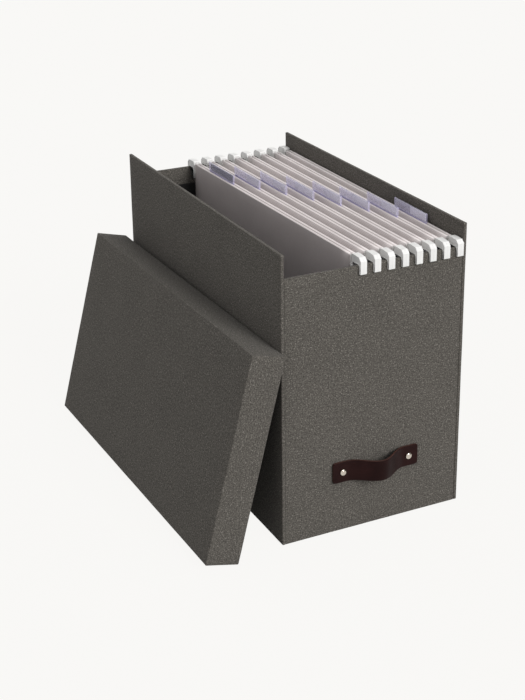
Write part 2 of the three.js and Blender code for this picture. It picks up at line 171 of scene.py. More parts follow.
class FolderSettings(bpy.types.PropertyGroup):
    """Hanging folders, their rails and tabs"""
    fan: in_degrees("Fan", "Turn of the first folder about its near hooks; later ones turn less", 1.4)
    card: in_mm("Card", "Thickness of the folder's card", 0.45)
    hem: in_mm("Hem", "Depth of the hem round each rail", 16)
    belly: in_mm("Belly", "How far a folder's sides swell at most", 1.3)
    rib_pitch: in_mm("Rib pitch", "Spacing of the ribs pressed in the card", 1.45)
    ribbing: as_share("Ribbing", "Strength of the ribs", 0.45)
    outer_ribbing: as_share("Outer ribbing", "Strength of the ribs on the free side", 0.08)
    rail_width: in_mm("Rail width", "Width of one hemmed rail", 2.55)
    neck: in_mm("Neck", "Open stretch between the card's end and the hook", 3.4)
    neck_drop: in_mm("Neck drop", "How far the rail is cut down in the neck", 8.5)
    hook_leg: in_mm("Hook leg", "Thickness of the hook's outer leg", 2.9)
    hook_arm: in_mm("Hook arm", "Height of the hook's arm over the wall", 7)
    hook_chamfer: in_mm("Hook chamfer", "Chamfer of the hook's outer shoulder", 3.2)
    hook_rim: in_mm("Hook rim", "Width of the raised rim round the hook's side", 0.6)
    tab_rise: in_mm("Tab rise", "How far the tabs stand above the folds", 9.4)
    tab_seat: in_mm("Tab seat", "How far the pockets start above the folds", 0.6)
    tab_tongue: in_mm("Tab tongue", "How far the tongue reaches down the slot", 7)
    tab_depth: in_mm("Tab depth", "Thickness of a tab's pocket", 1.7)
    tab_wall: in_mm("Tab wall", "Thickness of the tab's clear plastic", 0.5)
    tab_first: in_mm("Tab first", "Place of the first tab's middle along the box", 102)
    tab_step: in_mm("Tab step", "How far each tab lies nearer than the one before", 27.85)
    tab_turn: in_degrees("Tab turn", "Most that a tab sits askew in its slot", 0.7)
    tab_cover: as_share("Tab cover", "Opacity of the clear plastic", 0.28)
    edge_cover: as_share("Edge cover", "Opacity of the plastic's edges and tongue", 0.8)
    insert: in_mm("Insert", "Thickness of the card insert", 0.3)
    paper: as_colour("Card colour", "Colour of the folders' card", (0.87, 0.81, 0.80))
    # Painted shade: the first folder's free side is the same card, given a darker colour in place of the
    # shade that falls on it.
    painted_shade_paper: as_colour("Outer card", "Colour of the first folder's free side", (0.58, 0.525, 0.52))
    plastic: as_colour("Plastic", "Colour of the rails and hooks", (0.87, 0.865, 0.85))
    tint: as_colour("Tab tint", "Tint of the tabs' clear plastic", (0.76, 0.74, 0.90))
    tint_edge: as_colour("Tab edge", "Tint of the tabs' cut edges and tongue", (0.66, 0.62, 0.86))
    label: as_colour("Label", "Colour of the card inserts", (0.88, 0.87, 0.92))
    first_label: as_colour("First label", "Colour of the first folder's insert", (0.20, 0.20, 0.25))
    seed: IntProperty(name="Seed", description="Seed of the folders' small differences", default=7)


class StageSettings(bpy.types.PropertyGroup):
    """Camera, floor and light"""
    lens: FloatProperty(name="Lens", description="Focal length", default=73.35, unit="CAMERA")
    shift: as_number("Shift", "Vertical shift of the picture", -0.12)
    azimuth: in_degrees("Azimuth", "Bearing of the camera from straight in front", -25.78)
    elevation: in_degrees("Elevation", "Height of the camera above level", 20.39)
    roll: in_degrees("Roll", "Roll of the camera", -0.70)
    place: as_place("Place", "Place of the camera", (-0.59435, -1.17897, 0.68690))
    backdrop: as_colour("Backdrop", "Colour of floor and backdrop", (0.947, 0.939, 0.922))
    glow: as_share("Glow", "Share of the floor that shows as the bare backdrop", 0.93)
    glow_gain: as_number("Glow gain", "How much brighter that share is than the backdrop", 1.045)
    bounce: as_share("Bounce", "Share of the light that the floor throws back", 0.42)
    sky: as_number("Sky light", "Strength of the even light from all round", 0.62)
    key: as_number("Key light", "Strength of the sun-like light", 2.0)
    key_azimuth: in_degrees("Key azimuth", "Bearing of the key light, to the right of the front", 14.0)
    key_elevation: in_degrees("Key elevation", "Height of the key light above level", 29.0)
    key_spread: in_degrees("Key spread", "Angle that the key light fills", 24.0)
    flag_place: as_place("Flag place", "Middle of the dark flag", (0.80, -0.72, 0.42))
    flag_size: in_mm("Flag size", "Side of the dark flag", 800)


# Node recipes

class Recipe:
    """A material and short ways to add its nodes."""

    def __init__(self, name, colour, roughness, metallic=0.0, specular=0.5):
        self.material = bpy.data.materials.new(name)
        self.material.use_nodes = True
        self.material.diffuse_color = (*colour, 1.0)
        self.tree = self.material.node_tree
        self.shader = self.tree.nodes["Principled BSDF"]
        self.shader.inputs["Base Color"].default_value = (*colour, 1.0)
        self.shader.inputs["Roughness"].default_value = roughness
        self.shader.inputs["Metallic"].default_value = metallic
        self.shader.inputs["Specular IOR Level"].default_value = specular

    def plug(self, value, socket):
        if isinstance(value, bpy.types.NodeSocket):
            self.tree.links.new(value, socket)
        elif isinstance(value, (tuple, list, Vector)) and len(socket.default_value) == 4:
            socket.default_value = (*value, 1.0)[:4]
        else:
            socket.default_value = value

    def node(self, kind, settings=None, **inputs):
        made = self.tree.nodes.new(kind)
        for key, value in (settings or {}).items():
            setattr(made, key, value)
        for key, value in inputs.items():
            self.plug(value, made.inputs[key.replace("_", " ")])
        return made

    def math(self, operation, first, second=0.0, third=0.0):
        made = self.node("ShaderNodeMath", {"operation": operation})
        for socket, value in zip(made.inputs, (first, second, third)):
            self.plug(value, socket)
        return made.outputs[0]

    def objectspace(self):
        return self.node("ShaderNodeTexCoord").outputs["Object"]

    def stretched(self, vector, scale):
        return self.node("ShaderNodeMapping", Vector=vector, Scale=scale).outputs[0]

    def noise(self, vector, scale, detail=2.0, roughness=0.5):
        made = self.node("ShaderNodeTexNoise", Vector=vector, Scale=scale, Detail=detail,
                         Roughness=roughness)
        return made.outputs["Fac"]

    def spread(self, value, low, high, to_low=0.0, to_high=1.0):
        made = self.node("ShaderNodeMapRange", {"clamp": True})
        for socket, item in zip(made.inputs, (value, low, high, to_low, to_high)):
            self.plug(item, socket)
        return made.outputs[0]

    def mix(self, share, first, second, blend="MIX"):
        made = self.node("ShaderNodeMix", {"data_type": "RGBA", "blend_type": blend})
        self.plug(share, made.inputs["Factor"])
        self.plug(first, made.inputs[6])
        self.plug(second, made.inputs[7])
        return made.outputs[2]

    def colour(self, value):
        self.plug(value, self.shader.inputs["Base Color"])

    def mottle(self, value, low, high, colour, first, second):
        """Colours the piece in two shades of a colour, spread by a value."""
        self.colour(self.mix(self.spread(value, low, high), scaled(colour, first), scaled(colour, second)))

    def roughness(self, value):
        self.plug(value, self.shader.inputs["Roughness"])

    def bump(self, height, strength, distance):
        made = self.node("ShaderNodeBump", Height=height, Strength=strength, Distance=distance)
        if self.shader.inputs["Normal"].is_linked:
            self.plug(self.shader.inputs["Normal"].links[0].from_socket, made.inputs["Normal"])
        self.plug(made.outputs[0], self.shader.inputs["Normal"])


def scaled(colour, factor):
    return tuple(min(1.0, channel * factor) for channel in colour)


def canvas_finish(settings):
    """Plain-woven cloth laid on the piece's own map, with slubs along both threads and pale flecks."""
    recipe = Recipe("woven canvas", settings.canvas, roughness=0.92, specular=0.15)
    cloth = recipe.node("ShaderNodeUVMap", {"uv_map": "weave"}).outputs[0]
    parts = recipe.node("ShaderNodeSeparateXYZ", Vector=cloth)
    pitch = settings.thread_pitch
    times = functools.partial(recipe.math, "MULTIPLY")
    across = recipe.math("DIVIDE", parts.outputs[0], pitch)
    along = recipe.math("DIVIDE", parts.outputs[1], pitch)

    def ridge(value):
        return recipe.math("ABSOLUTE", recipe.math("SINE", times(value, math.pi)))

    def over(value, row, sign):
        phase = recipe.math("ADD", recipe.math("SUBTRACT", value, 0.5), recipe.math("FLOOR", row))
        wave = recipe.math("COSINE", times(phase, math.pi))
        return recipe.math("MULTIPLY_ADD", wave, sign * 0.5, 0.5)

    warp = times(ridge(across), over(along, across, 1))
    weft = times(ridge(along), over(across, along, -1))
    weave = recipe.math("MAXIMUM", warp, weft)

    thin, long = 1 / (1.4 * pitch), 1 / (7 * pitch)
    warp_slub = recipe.noise(recipe.stretched(cloth, (thin, long, 1)), 1.0, 2.0)
    weft_slub = recipe.noise(recipe.stretched(cloth, (long, thin, 1)), 1.0, 2.0)
    slub = recipe.math("MAXIMUM", warp_slub, weft_slub)
    heather = recipe.noise(cloth, 1 / (1.9 * pitch), 1.0)
    clumps = recipe.noise(cloth, 1 / (4.5 * pitch), 2.0)
    flecks = recipe.noise(cloth, 1 / (2.1 * pitch), 0.0)
    patches = recipe.noise(cloth, 1 / (38 * MM), 3.0)

    shade = times(recipe.spread(slub, 0.38, 0.78, 0.85, 1.25), recipe.spread(heather, 0.3, 0.7, 0.5, 1.45))
    woven = times(shade, recipe.spread(weave, 0.0, 1.0, 0.62, 1.12))
    clumped = times(woven, recipe.spread(clumps, 0.3, 0.7, 0.88, 1.12))
    tone = times(clumped, recipe.spread(patches, 0.3, 0.7, 0.95, 1.05))
    grey = recipe.node("ShaderNodeCombineColor", Red=tone, Green=tone, Blue=tone).outputs[0]
    cloth_colour = recipe.mix(1.0, tuple(settings.canvas), grey, "MULTIPLY")
    fleck_share = recipe.spread(flecks, 0.66, 0.76, 0.0, 0.55)
    recipe.colour(recipe.mix(fleck_share, cloth_colour, tuple(settings.canvas_fleck)))
    recipe.bump(weave, 0.5, 0.12 * MM)
    recipe.bump(slub, 0.3, 0.15 * MM)
    recipe.shader.inputs["Sheen Weight"].default_value = 0.06
    recipe.shader.inputs["Sheen Roughness"].default_value = 0.5
    return recipe.material


def lining_finish(settings):
    """Black paper with faint fibres."""
    recipe = Recipe("black lining paper", settings.lining, roughness=0.75, specular=0.3)
    place = recipe.objectspace()
    fibres = recipe.noise(recipe.stretched(place, (1, 1, 3)), 900.0, 3.0)
    recipe.mottle(fibres, 0.4, 0.7, settings.lining, 0.8, 1.5)
    recipe.roughness(recipe.spread(fibres, 0.3, 0.7, 0.68, 0.82))
    recipe.bump(fibres, 0.15, 0.1 * MM)
    return recipe.material


def leather_finish(settings):
    """Smooth dressed leather: fine pebble grain, faint creases and a soft uneven sheen."""
    recipe = Recipe("dark leather", settings.leather, roughness=0.42, specular=0.06)
    place = recipe.objectspace()
    pebbles = recipe.node("ShaderNodeTexVoronoi", {"feature": "SMOOTH_F1"}, Vector=place, Scale=1150.0)
    pebbles.inputs["Smoothness"].default_value = 0.6
    creases = recipe.noise(recipe.stretched(place, (1, 1, 2.5)), 160.0, 4.0, 0.6)
    clouds = recipe.noise(place, 45.0, 2.0)
    worn = recipe.mix(recipe.spread(clouds, 0.35, 0.7), scaled(settings.leather, 0.85),
                      scaled(settings.leather, 1.35))
    crease_share = recipe.spread(creases, 0.58, 0.75, 0.0, 0.5)
    recipe.colour(recipe.mix(crease_share, worn, scaled(settings.leather, 2.0)))
    recipe.roughness(recipe.spread(creases, 0.3, 0.7, 0.36, 0.5))
    recipe.bump(pebbles.outputs["Distance"], 0.22, 0.12 * MM)
    recipe.bump(creases, 0.15, 0.2 * MM)
    return recipe.material


def leather_edge_finish(settings):
    """The cut edge of the leather, paler and fibrous."""
    recipe = Recipe("leather edge", settings.leather_edge, roughness=0.6, specular=0.2)
    place = recipe.objectspace()
    fibres = recipe.noise(recipe.stretched(place, (1, 4, 4)), 700.0, 3.0)
    recipe.mottle(fibres, 0.35, 0.65, settings.leather_edge, 0.7, 1.35)
    recipe.bump(fibres, 0.3, 0.1 * MM)
    return recipe.material


def nickel_finish(settings):
    """Polished nickel with faint handling marks."""
    recipe = Recipe("polished nickel", settings.nickel, roughness=0.08, metallic=1.0)
    place = recipe.objectspace()
    marks = recipe.noise(recipe.stretched(place, (1, 1, 6)), 500.0, 4.0, 0.6)
    recipe.mottle(marks, 0.35, 0.7, settings.nickel, 1.0, 0.88)
    recipe.roughness(recipe.spread(marks, 0.3, 0.7, 0.05, 0.11))
    recipe.bump(marks, 0.06, 0.05 * MM)
    return recipe.material


def card_finish(settings, name, colour, ribbing):
    """Pale pressed card, ribbed in fine lines that run along the folder, with painted shade darkening the
    grooves.
    """
    recipe = Recipe(name, colour, roughness=0.78, specular=0.3)
    place = recipe.objectspace()
    height = recipe.node("ShaderNodeSeparateXYZ", Vector=place).outputs[2]
    turns = recipe.math("MULTIPLY", height, 2 * math.pi / settings.rib_pitch)
    ribs = recipe.spread(recipe.math("SINE", turns), -1.0, 1.0)
    pulp = recipe.noise(place, 650.0, 4.0, 0.6)
    clouds = recipe.noise(place, 30.0, 2.0)
    tone = recipe.mix(recipe.spread(clouds, 0.3, 0.7), scaled(colour, 0.96), scaled(colour, 1.03))
    pulped = recipe.mix(recipe.spread(pulp, 0.45, 0.75, 0.0, 0.5), tone, scaled(colour, 0.86))
    # Painted shade: the card is darkened in the ribs' grooves, where shade falls.
    groove_shade_share = recipe.spread(ribs, 0.0, 0.6, ribbing, 0.0)
    recipe.colour(recipe.mix(groove_shade_share, pulped, scaled(colour, 0.55)))
    recipe.bump(ribs, ribbing, 0.1 * MM)
    recipe.bump(pulp, 0.12, 0.08 * MM)
    return recipe.material


def plastic_finish(settings):
    """White moulded plastic with a faint moulding texture."""
    recipe = Recipe("white moulded plastic", settings.plastic, roughness=0.38, specular=0.5)
    place = recipe.objectspace()
    skin = recipe.noise(place, 900.0, 2.0)
    clouds = recipe.noise(place, 90.0, 2.0)
    recipe.mottle(clouds, 0.35, 0.7, settings.plastic, 1.0, 0.95)
    recipe.roughness(recipe.spread(skin, 0.3, 0.7, 0.33, 0.46))
    recipe.bump(skin, 0.08, 0.05 * MM)
    return recipe.material


def tab_finish(name, tint, cover):
    """Clear plastic with a lilac tint, which gathers in its cut edges."""
    recipe = Recipe(name, tint, roughness=0.14, specular=0.5)
    place = recipe.objectspace()
    haze = recipe.noise(recipe.stretched(place, (1, 1, 3)), 260.0, 3.0)
    recipe.mottle(haze, 0.35, 0.7, tint, 1.0, 1.12)
    recipe.roughness(recipe.spread(haze, 0.3, 0.7, 0.1, 0.22))
    recipe.shader.inputs["Alpha"].default_value = cover
    return recipe.material


def label_finish(name, colour):
    """Smooth card insert."""
    recipe = Recipe(name, colour, roughness=0.7, specular=0.3)
    place = recipe.objectspace()
    pulp = recipe.noise(recipe.stretched(place, (1, 0.4, 1)), 700.0, 3.0)
    recipe.mottle(pulp, 0.35, 0.7, colour, 0.92, 1.06)
    recipe.bump(pulp, 0.1, 0.05 * MM)
    return recipe.material


FINISHES = {}


def finish(name, make, *values):
    """The material of that name, made on its first use."""
    if name not in FINISHES:
        FINISHES[name] = make(*values)
    return FINISHES[name]


# Modelling

def block(bm, low, high):
    """A block between two corners, added to the mesh."""
    made = bmesh.ops.create_cube(bm, size=1.0)["verts"]
    bmesh.ops.scale(bm, vec=high - low, verts=made)
    bmesh.ops.translate(bm, vec=(low + high) / 2, verts=made)
    return made


def round_edges(bm, edges, radius, segments):
    bmesh.ops.bevel(bm, geom=edges, offset=radius, offset_type="OFFSET", segments=segments, profile=0.5,
                    affect="EDGES", material=-1, clamp_overlap=True)


def face_out(bm):
    bmesh.ops.recalc_face_normals(bm, faces=bm.faces)
    bm.normal_update()


def sharp_edges(bm, degrees=50):
    limit = math.radians(degrees)
    return [edge for edge in bm.edges if len(edge.link_faces) == 2 and edge.calc_face_angle() > limit]


def cut(bm, axis, at):
    geometry = bm.verts[:] + bm.edges[:] + bm.faces[:]
    bmesh.ops.bisect_plane(bm, geom=geometry, dist=1e-7, plane_co=axis * at, plane_no=axis)


def loop_cuts(bm, axis, step):
    """Cuts the mesh by even planes across an axis, about a step apart."""
    reach = [vert.co.dot(axis) for vert in bm.verts]
    low, high = min(reach), max(reach)
    count = int((high - low) / step)
    for index in range(1, count):
        cut(bm, axis, low + (high - low) * index / count)


def ruffle(bm, amount, grain):
    """Moves each vertex a little along its normal, as cloth strays from a true plane."""
    bm.normal_update()
    for vert in bm.verts:
        vert.co += vert.normal * amount * noise.noise(vert.co / grain)


def lay_weave(bm):
    """Maps the cloth in metres, each face on the two axes that it runs along."""
    layer = bm.loops.layers.uv.new("weave")
    bm.normal_update()
    for face in bm.faces:
        size = [abs(part) for part in face.normal]
        skip = size.index(max(size))
        kept = [index for index in range(3) if index != skip]
        for loop in face.loops:
            loop[layer].uv = (loop.vert.co[kept[0]], loop.vert.co[kept[1]])


def push_out(bm, made, way):
    """Moves the newly extruded vertices."""
    moved = [item for item in made["geom"] if isinstance(item, bmesh.types.BMVert)]
    bmesh.ops.translate(bm, vec=way, verts=moved)


class Wire:
    """A row of joined vertices, drawn with straight runs and arcs about one axis."""

    def __init__(self, bm, start, axis):
        self.bm = bm
        self.axis = axis
        self.tip = bm.verts.new(start)
        self.first = self.tip

    def line(self, end):
        made = bmesh.ops.extrude_vert_indiv(self.bm, verts=[self.tip])
        self.tip = made["verts"][0]
        self.tip.co = end

    def arc(self, centre, degrees, steps):
        made = bmesh.ops.spin(self.bm, geom=[self.tip], cent=centre, axis=self.axis,
                              angle=math.radians(degrees), steps=steps)
        self.tip = next(item for item in made["geom_last"] if isinstance(item, bmesh.types.BMVert))

    def close(self):
        self.bm.edges.new((self.tip, self.first))
        bmesh.ops.remove_doubles(self.bm, verts=self.bm.verts, dist=1e-7)


def turned(bm, centre, axis, profile, steps=56):
    """Spins a profile of (radius, distance along the axis) about an axis into a closed shell."""
    side = axis.orthogonal().normalized()
    wire = Wire(bm, centre + side * profile[0][0] + axis * profile[0][1], axis)
    for radius, reach in profile[1:]:
        wire.line(centre + side * radius + axis * reach)
    bmesh.ops.spin(bm, geom=bm.verts[:] + bm.edges[:], cent=centre, axis=axis, angle=2 * math.pi,
                   steps=steps, use_merge=True)
    bmesh.ops.remove_doubles(bm, verts=bm.verts, dist=1e-6)
    bmesh.ops.recalc_face_normals(bm, faces=bm.faces)


def add_object(name, bm, materials):
    """Puts the mesh into the scene as an object with its materials."""
    mesh = bpy.data.meshes.new(name)
    bm.to_mesh(mesh)
    bm.free()
    for material in materials:
        mesh.materials.append(material)
    made = bpy.data.objects.new(name, mesh)
    bpy.context.scene.collection.objects.link(made)
    return made


def finish_piece(name, bm, materials, nodes, smooth_degrees=40):
    """Makes the mesh an object that rides on the box and stands for its CAD nodes."""
    piece = add_object(name, bm, materials)
    piece.data.shade_smooth()
    piece.data.set_sharp_from_angle(angle=math.radians(smooth_degrees))
    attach(piece, "root")
    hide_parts(*nodes)
    return piece


def paint_node(name, material):
    """Gives a CAD node its finish."""
    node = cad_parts[name]
    node.data.materials.clear()
    node.data.materials.append(material)


# Pieces

class FILEBOX_OT_boards(bpy.types.Operator):
    """Models the canvas-wrapped walls and base"""
    bl_idname = "filebox.boards"
    bl_label = "Wrapped Boards"

    def execute(self, context):
        settings = context.scene.filebox_boards
        canvas = finish("canvas", canvas_finish, settings)
        for node in BOARD_NODES:
            bm = bmesh.new()
            low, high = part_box(node)
            radius = settings.edge_radius
            if node.startswith("end_wall"):
                low.x -= settings.seam
                high.x += settings.seam
                radius = settings.end_radius
            block(bm, low, high)
            round_edges(bm, bm.edges[:], radius, 3)
            for axis in (X_AXIS, Y_AXIS, Z_AXIS):
                loop_cuts(bm, axis, settings.panel_step)
            ruffle(bm, settings.unevenness, GRAIN)
            lay_weave(bm)
            finish_piece(f"{node}_canvas", bm, [canvas], [node])
        return {"FINISHED"}


class FILEBOX_OT_lid(bpy.types.Operator):
    """Models the lid as an open wrapped tray, leaning on the left wall"""
    bl_idname = "filebox.lid"
    bl_label = "Leaning Lid"

    def execute(self, context):
        settings = context.scene.filebox_boards
        wall_low, wall_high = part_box("side_wall_left")
        lid_low, lid_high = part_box("lid")
        board = wall_high.x - wall_low.x
        grow = 2 * (settings.lid_play + board)
        width = 2 * abs(wall_low.x) + grow
        length = wall_high.y - wall_low.y + grow
        depth = settings.lid_depth

        bm = bmesh.new()
        block(bm, Vector((0, 0, 0)), Vector((width, length, depth)))
        bm.normal_update()
        mouth = [face for face in bm.faces if face.normal.z < -0.5]
        bmesh.ops.delete(bm, geom=mouth, context="FACES_ONLY")
        bmesh.ops.solidify(bm, geom=bm.faces[:], thickness=board)
        bmesh.ops.recalc_face_normals(bm, faces=bm.faces)
        round_edges(bm, sharp_edges(bm), settings.edge_radius, 3)
        cut(bm, Z_AXIS, settings.turn_in)
        for axis in (X_AXIS, Y_AXIS, Z_AXIS):
            loop_cuts(bm, axis, settings.panel_step)
        middle = Vector((width / 2, length / 2, 0))
        for face in bm.faces:
            at = face.calc_center_median()
            inside = (abs(at.x - middle.x) < width / 2 - 0.6 * board
                      and abs(at.y - middle.y) < length / 2 - 0.6 * board and at.z < depth - 0.6 * board)
            if inside and at.z > settings.turn_in:
                face.material_index = 1
        ruffle(bm, settings.unevenness, GRAIN)
        lay_weave(bm)

        lean = Matrix.Rotation(settings.lid_lean - math.pi / 2, 4, "Y")
        turn = Matrix.Rotation(settings.lid_turn, 4, "Z")
        bm.transform(turn @ lean)
        low = Vector([min(vert.co[index] for vert in bm.verts) for index in range(3)])
        high = Vector([max(vert.co[index] for vert in bm.verts) for index in range(3)])
        shift = (lid_low + lid_high) / 2 - (low + high) / 2
        bmesh.ops.translate(bm, vec=shift, verts=bm.verts)
        canvas = finish("canvas", canvas_finish, settings)
        lining = finish("lining", lining_finish, settings)
        finish_piece("lid_canvas", bm, [canvas, lining], ["lid"])
        return {"FINISHED"}


class FILEBOX_OT_linings(bpy.types.Operator):
    """Gives the five lining sheets their black paper"""
    bl_idname = "filebox.linings"
    bl_label = "Linings"

    def execute(self, context):
        settings = context.scene.filebox_boards
        for node in LINING_NODES:
            paint_node(node, finish("lining", lining_finish, settings))
        return {"FINISHED"}


class FILEBOX_OT_pull(bpy.types.Operator):
    """Models the bowed leather pull"""
    bl_idname = "filebox.pull"
    bl_label = "Leather Pull"

    def execute(self, context):
        settings = context.scene.filebox_pull
        low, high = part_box("pull_strap")
        middle = (low + high) / 2
        length, width = high.x - low.x, high.z - low.z
        half = Vector((length / 2, width / 2))
        corner = settings.corner
        rivets = []
        for side in ("left", "right"):
            rivet_low, rivet_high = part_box(f"rivet_{side}")
            rivets.append((rivet_low.x + rivet_high.x) / 2 - middle.x)

        bm = bmesh.new()
        bmesh.ops.create_grid(bm, x_segments=110, y_segments=16, size=0.5)
        bmesh.ops.scale(bm, vec=(length, width, 1), verts=bm.verts)
        for vert in bm.verts:
            into = Vector((abs(vert.co.x) - half.x + corner, abs(vert.co.y) - half.y + corner))
            if into.x > 0 and into.y > 0:
                into *= max(into) / into.length
                vert.co.x = math.copysign(half.x - corner + into.x, vert.co.x)
                vert.co.y = math.copysign(half.y - corner + into.y, vert.co.y)
        for vert in bm.verts:
            phase = max(-1.0, min(1.0, 2 * vert.co.x / settings.bow_length)) * math.pi
            bow = settings.bow * (1 + math.cos(phase)) / 2
            press = 0.0
            for at in rivets:
                distance = math.hypot(vert.co.x - at, vert.co.y)
                press += math.exp(-(distance / DIMPLE_REACH) ** 2)
            edge = abs(vert.co.y) / half.y
            curl = CURL * edge ** 4 * (bow / settings.bow)
            sink = settings.dimple * (press - 1) / 2
            vert.co = Vector((vert.co.x + middle.x, high.y - bow + sink + curl - settings.thickness,
                              vert.co.y + middle.z))
        face_out(bm)
        if sum(face.normal.y for face in bm.faces) > 0:
            bmesh.ops.reverse_faces(bm, faces=bm.faces)
        bmesh.ops.solidify(bm, geom=bm.faces[:], thickness=settings.thickness)
        bm.normal_update()
        rim = sharp_edges(bm, 60)
        round_edges(bm, rim, settings.edge_radius, 3)
        face_out(bm)
        for face in bm.faces:
            at = face.calc_center_median()
            at_end = abs(at.x - middle.x) > half.x - 0.2 * MM
            if abs(face.normal.z) > 0.75 or (at_end and abs(face.normal.x) > 0.75):
                face.material_index = 1
        leather = finish("leather", leather_finish, settings)
        cut_edge = finish("leather edge", leather_edge_finish, settings)
        finish_piece("pull_leather", bm, [leather, cut_edge], ["pull_strap"], 60)
        return {"FINISHED"}


class FILEBOX_OT_rivets(bpy.types.Operator):
    """Turns the domed nickel rivets and their washers"""
    bl_idname = "filebox.rivets"
    bl_label = "Rivets and Washers"

    def execute(self, context):
        nickel = finish("nickel", nickel_finish, context.scene.filebox_pull)
        for side in ("left", "right"):
            self.rivet(side, nickel)
            self.washer(side, nickel)
        return {"FINISHED"}

    def rivet(self, side, nickel):
        low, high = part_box(f"rivet_{side}")
        head = (high.x - low.x) / 2
        end = high.y - low.y
        tail_seat = end - TAIL_HEIGHT
        profile = []
        for step in range(11):
            turn = math.pi / 2 * step / 10
            fall = 1 - math.cos(turn) ** 0.8
            profile.append((head * math.sin(turn), RIVET_CROWN * fall * DOME))
        profile += [(head, RIVET_CROWN * 0.94), (head * 0.96, RIVET_CROWN), (SHANK, RIVET_CROWN),
                    (SHANK, tail_seat), (TAIL, tail_seat), (TAIL, end - TAIL_SLOPE), (SHANK, end), (0, end)]
        self.turned_piece(f"rivet_{side}", profile, nickel)

    def washer(self, side, nickel):
        low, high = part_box(f"rivet_washer_{side}")
        outer = (high.x - low.x) / 2
        thick = high.y - low.y
        profile = [(WASHER_HOLE, 0), (outer - WASHER_EASE, 0), (outer, WASHER_EASE),
                   (outer, thick - WASHER_EASE), (outer - WASHER_EASE, thick), (WASHER_HOLE, thick),
                   (WASHER_HOLE, 0)]
        self.turned_piece(f"rivet_washer_{side}", profile, nickel)

    def turned_piece(self, node, profile, nickel):
        low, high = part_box(node)
        bm = bmesh.new()
        turned(bm, Vector(((low.x + high.x) / 2, low.y, (low.z + high.z) / 2)), Y_AXIS, profile)
        finish_piece(f"{node}_nickel", bm, [nickel], [node], 35)


def folder_centre(index):
    low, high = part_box(f"folder_{index}_sleeve")
    return (low.x + high.x) / 2


def fan_turn(settings, index):
    """The turn of a folder about its near hooks: all but the last two spread out towards the far wall."""
    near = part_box(f"folder_{index}_rail_left")[0].y
    pivot = Vector((folder_centre(index), near, 0))
    share = max(0, FOLDERS - 1 - index) / (FOLDERS - 2)
    turn = Matrix.Rotation(settings.fan * share, 4, "Z")
    return Matrix.Translation(pivot) @ turn @ Matrix.Translation(-pivot)


class FILEBOX_OT_sleeves(bpy.types.Operator):
    """Folds the eight card sleeves, each with a hem over its two rails"""
    bl_idname = "filebox.sleeves"
    bl_label = "Card Sleeves"

    def execute(self, context):
        settings = context.scene.filebox_folders
        draw = random.Random(settings.seed)
        for index in range(1, FOLDERS + 1):
            swell = [draw.uniform(0.35, 1.0) * settings.belly for side in range(2)]
            if index == FOLDERS:
                swell[1] = 0.0
            self.sleeve(settings, index, swell)
        return {"FINISHED"}

    def sleeve(self, settings, index, swell):
        low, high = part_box(f"folder_{index}_sleeve")
        middle = (low.x + high.x) / 2
        outer = (high.x - low.x) / 2
        fold = settings.rail_width / 2
        rail = outer - fold
        fold_z = high.z - fold
        base_z = low.z + outer
        hem_z = high.z - settings.hem

        low.y += CARD_TRIM
        high.y -= CARD_TRIM

        def at(x, z):
            return Vector((middle + x, low.y, z))

        bm = bmesh.new()
        wire = Wire(bm, at(-rail + fold, hem_z), -Y_AXIS)
        wire.line(at(-rail + fold, fold_z))
        wire.arc(at(-rail, fold_z), 180, 10)
        wire.line(at(-outer, base_z))
        wire.arc(at(0, base_z), 180, 12)
        wire.line(at(outer, fold_z))
        wire.arc(at(rail, fold_z), 180, 10)
        wire.line(at(rail - fold, hem_z))
        sheet = bmesh.ops.extrude_edge_only(bm, edges=bm.edges[:])
        push_out(bm, sheet, Y_AXIS * (high.y - low.y))
        loop_cuts(bm, Z_AXIS, ROW_STEP)
        loop_cuts(bm, Y_AXIS, COLUMN_STEP)
        tall = fold_z - base_z
        for vert in bm.verts:
            side = vert.co.x - middle
            if abs(side) < outer - 0.01 * MM:
                continue
            share = max(0.0, min(1.0, (vert.co.z - base_z) / tall))
            across = (vert.co.y - low.y) / (high.y - low.y)
            bulge = math.sin(math.pi * share) ** 1.5 * (0.7 + 0.3 * math.sin(math.pi * across))
            ripple = 0.25 * noise.noise(Vector((index * 3.1, vert.co.y * 16, vert.co.z * 9)))
            vert.co.x += math.copysign(swell[0 if side < 0 else 1] * bulge * (1 + ripple), side)
        face_out(bm)
        outward = 0.0
        for face in bm.faces:
            side = face.calc_center_median().x - middle
            if abs(side) > outer - 0.05 * MM:
                outward += face.normal.x * side
        if outward < 0:
            bmesh.ops.reverse_faces(bm, faces=bm.faces)
        # Painted shade: faces on the first folder's free side take the darker copy of the card.
        for face in bm.faces:
            if index == 1 and face.normal.x < -0.9 and face.calc_center_median().x < middle - rail:
                face.material_index = 1
        bm.transform(fan_turn(settings, index))
        card = finish("card", card_finish, settings, "ribbed card", settings.paper, settings.ribbing)
        painted_shade_card = finish("outer card", card_finish, settings, "outer card", settings.painted_shade_paper,
                            settings.outer_ribbing)
        piece = finish_piece(f"folder_{index}_card", bm, [card, painted_shade_card],
                             [f"folder_{index}_sleeve"], 60)
        thicken = piece.modifiers.new("card thickness", "SOLIDIFY")
        thicken.thickness = settings.card
        thicken.offset = -1.0
        thicken.use_even_offset = True


